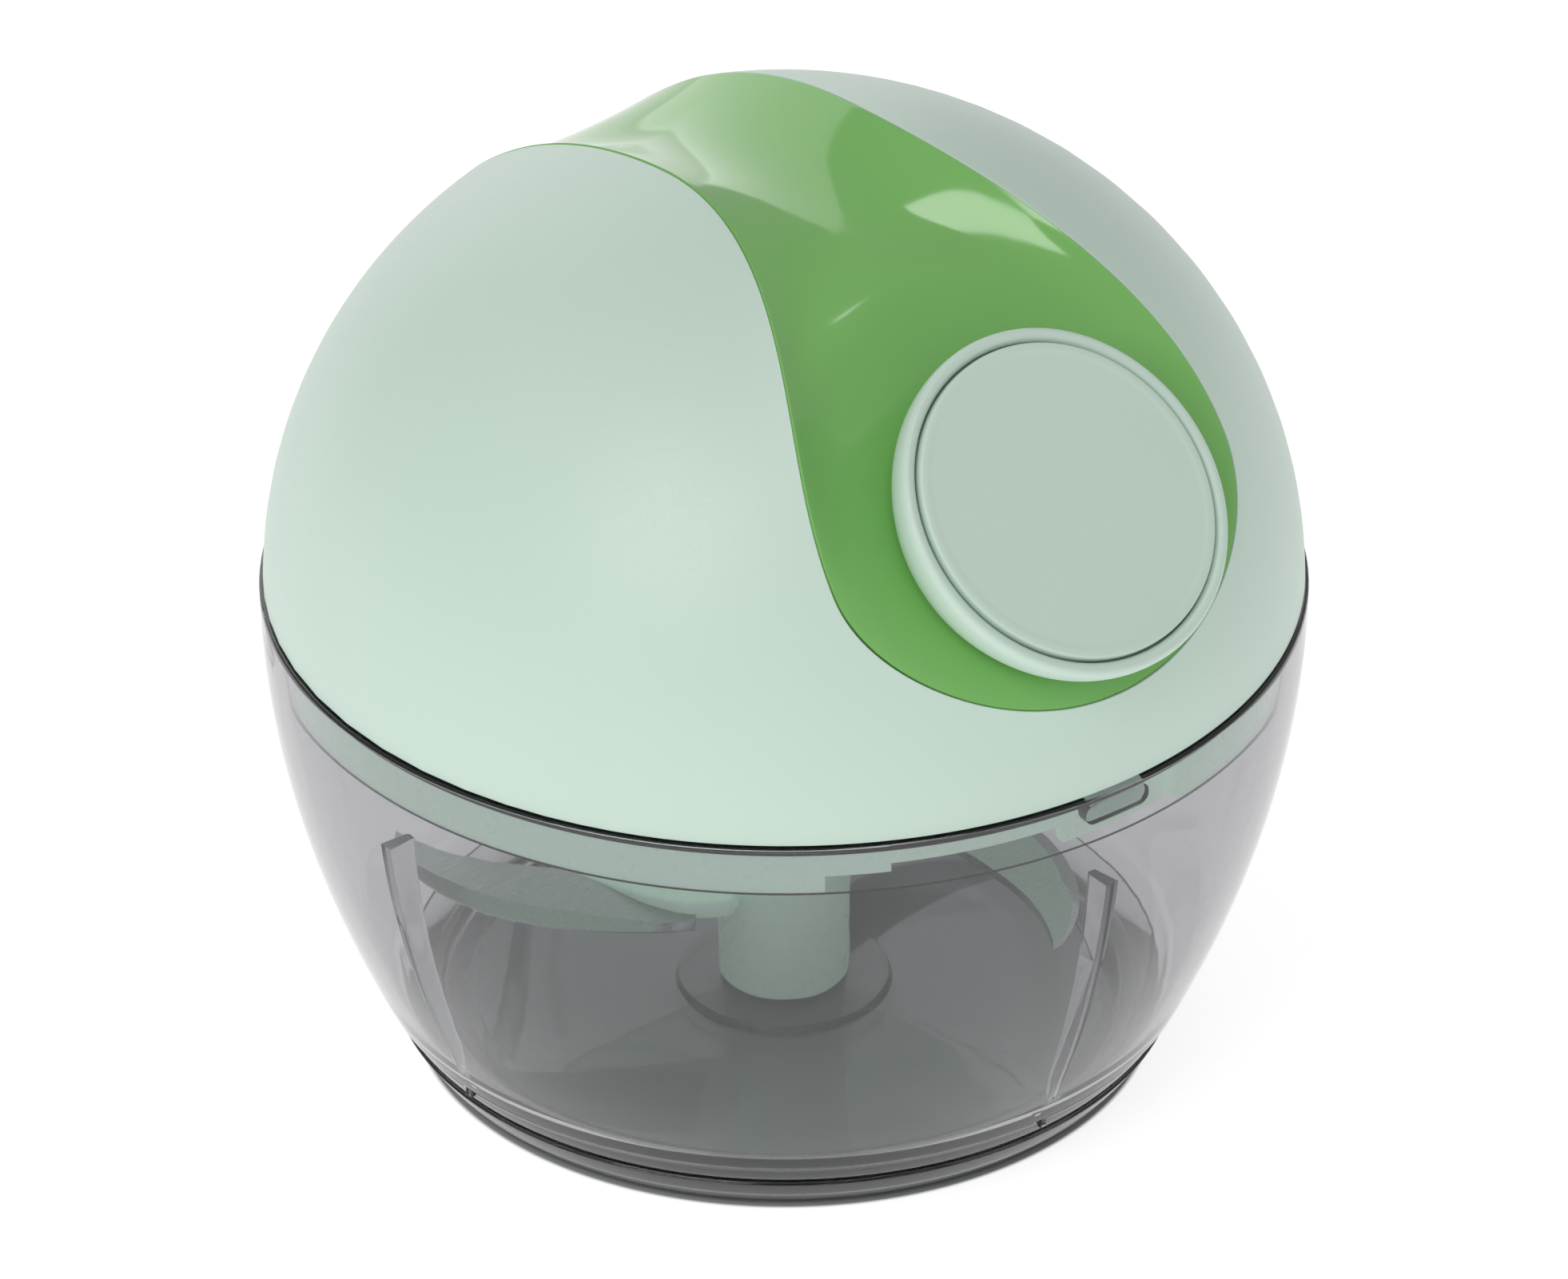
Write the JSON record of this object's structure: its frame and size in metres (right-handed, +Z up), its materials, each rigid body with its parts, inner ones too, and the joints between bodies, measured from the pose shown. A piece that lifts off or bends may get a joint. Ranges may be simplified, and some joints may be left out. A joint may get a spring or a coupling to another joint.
{
  "type": "food processor",
  "caption": "Hand-pulled food chopper: round smoky bowl, domed mint lid with a green saddle, tilted pull knob on a recoil cord, and curved blades on a column.",
  "frame": {"origin": "middle of the pad's underside, on the bowl's axis", "axes": "+Z up along the bowl's axis; the pull knob leans out towards -Y; X runs across the knob"},
  "size_m": [0.13, 0.1341, 0.1236],
  "materials": {
    "smoky_plastic": "clear smoky grey, glossy",
    "mint_plastic": "fine satin texture",
    "green_plastic": "high gloss",
    "white_acetal": "smooth",
    "grey_silicone": "matt",
    "stainless_steel": "fine brushed",
    "spring_steel": "blued strip",
    "braided_cord": "fine braid"
  },
  "bodies": {
    "bowl_unit": {"bowl": "smoky_plastic", "base_pad": "grey_silicone", "pivot_pin": "stainless_steel"},
    "blade_set": {"blade_hub": "mint_plastic", "drive_socket": "mint_plastic", "blade_lower": "stainless_steel", "blade_middle": "stainless_steel", "blade_upper": "stainless_steel"},
    "seal_ring": {"lid_seal": "grey_silicone"},
    "lid_unit": {"lid_base": "mint_plastic", "dome_shell": "mint_plastic", "saddle_cover": "green_plastic", "cord_eyelet": "stainless_steel", "drive_housing": "white_acetal", "housing_screw_1": "stainless_steel", "housing_screw_2": "stainless_steel", "housing_screw_3": "stainless_steel", "spring_case": "white_acetal", "recoil_spring": "spring_steel", "centre_axle": "stainless_steel", "rotor_washer": "stainless_steel", "cord_guide": "stainless_steel", "cord_run": "braided_cord"},
    "spool_unit": {"spool": "white_acetal", "cord_winding": "braided_cord"},
    "pawl_right": {"pawl_a": "stainless_steel"},
    "pawl_left": {"pawl_b": "stainless_steel"},
    "rotor_unit": {"drive_rotor": "white_acetal"},
    "pull_knob": {"handle_body": "mint_plastic", "handle_cap": "mint_plastic", "cord_knot": "braided_cord"}
  },
  "joints": [
    {"name": "lid_lift", "type": "slide", "parent": "bowl_unit", "child": "seal_ring", "axis": [0, 0, 1], "range_m": [0, 0.12]},
    {"name": "lid_twist", "type": "hinge", "parent": "seal_ring", "child": "lid_unit", "pos_m": [0, 0, 0.0635], "axis": [0, 0, 1], "range_deg": [0, 22]},
    {"name": "handle_pull", "type": "slide", "parent": "lid_unit", "child": "pull_knob", "axis": [0, -0.712, 0.7022], "range_m": [0, 0.3], "stiffness_N_per_m": 20, "springref_m": -0.25},
    {"name": "spool_spin", "type": "hinge", "parent": "lid_unit", "child": "spool_unit", "pos_m": [0, 0, 0.078], "axis": [0, 0, 1], "range_deg": [0, 831]},
    {"name": "rotor_spin", "type": "hinge", "parent": "lid_unit", "child": "rotor_unit", "pos_m": [0, 0, 0.066], "axis": [0, 0, 1], "range_deg": [0, 831]},
    {"name": "blade_spin", "type": "hinge", "parent": "bowl_unit", "child": "blade_set", "pos_m": [0, 0, 0.02], "axis": [0, 0, 1], "range_deg": [0, 831]},
    {"name": "pawl_right_swing", "type": "hinge", "parent": "spool_unit", "child": "pawl_right", "pos_m": [0.012, 0, 0.07], "axis": [0, 0, 1], "range_deg": [0, 18]},
    {"name": "pawl_left_swing", "type": "hinge", "parent": "spool_unit", "child": "pawl_left", "pos_m": [-0.012, 0, 0.07], "axis": [0, 0, 1], "range_deg": [0, 18]}
  ],
  "couplings": [
    {"joint": "spool_spin", "follows": "handle_pull", "rad_per_m": 48.309},
    {"joint": "rotor_spin", "follows": "handle_pull", "rad_per_m": 48.309},
    {"joint": "blade_spin", "follows": "handle_pull", "rad_per_m": 48.309}
  ]
}
